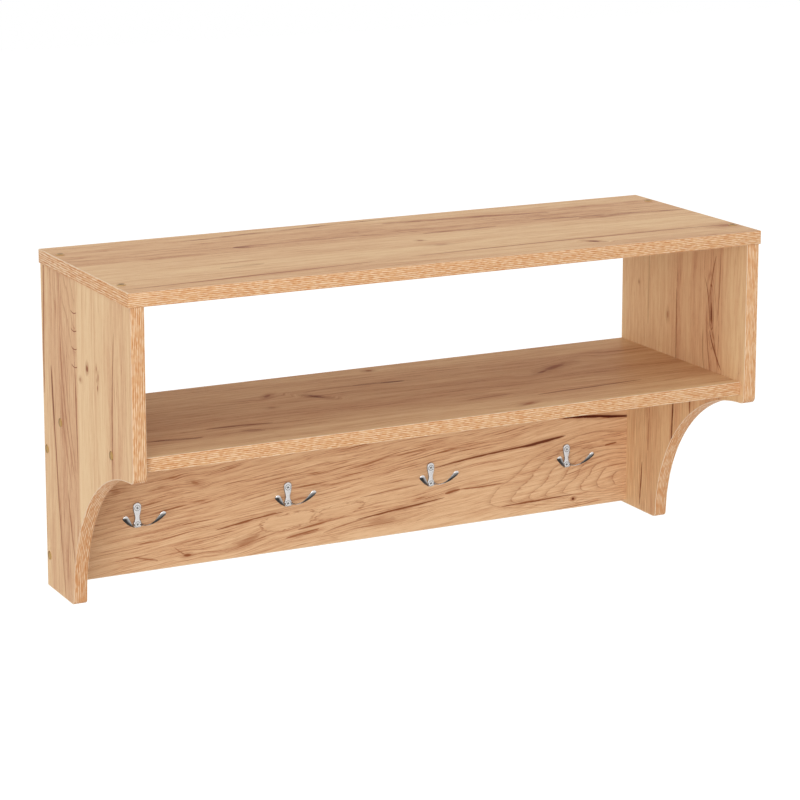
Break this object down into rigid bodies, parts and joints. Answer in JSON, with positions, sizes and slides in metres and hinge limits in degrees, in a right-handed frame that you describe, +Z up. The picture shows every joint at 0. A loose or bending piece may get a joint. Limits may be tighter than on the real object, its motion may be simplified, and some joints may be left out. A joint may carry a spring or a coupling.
{
  "type": "coat rack",
  "caption": "Wall coat rack with a closed top board over an open hat compartment, curved side panels and a hook board with double hooks under the shelf.",
  "frame": {"origin": "on the wall plane, midway between the entry holes of the two keyhole hangers, 50 mm below the upper face of the top board", "axes": "+X to the right seen from the front, along the boards; +Y into the wall; +Z up"},
  "size_m": [0.8, 0.2815, 0.4012],
  "materials": {
    "oak_laminate": "matt printed laminate with a light oak decor, on chipboard",
    "oak_edge_band": "thin plastic edge band printed with fine oak streaks",
    "satin_nickel": "cast zinc, satin nickel plated",
    "nickel_screw": "nickel plated",
    "zinc_screw": "zinc plated",
    "zinc_plate": "zinc plated sheet",
    "cap_plastic": "moulded, light brown"
  },
  "bodies": {
    "root": {"top_board": "oak_laminate", "top_band_front": "oak_edge_band", "top_band_left": "oak_edge_band", "top_band_right": "oak_edge_band", "side_panel_left": "oak_laminate", "side_panel_right": "oak_laminate", "side_band_left": "oak_edge_band", "side_band_right": "oak_edge_band", "shelf_board": "oak_laminate", "shelf_band": "oak_edge_band", "hook_board": "oak_laminate", "hook_board_band": "oak_edge_band", "top_connectors": "zinc_screw", "shelf_connectors": "zinc_screw", "hook_board_connectors": "zinc_screw", "top_caps": "cap_plastic", "side_caps_left": "cap_plastic", "side_caps_right": "cap_plastic", "hook_1": "satin_nickel", "hook_2": "satin_nickel", "hook_3": "satin_nickel", "hook_4": "satin_nickel", "hook_screws": "nickel_screw", "hanger_left": "zinc_plate", "hanger_right": "zinc_plate", "hanger_screws": "zinc_screw"}
  },
  "joints": []
}
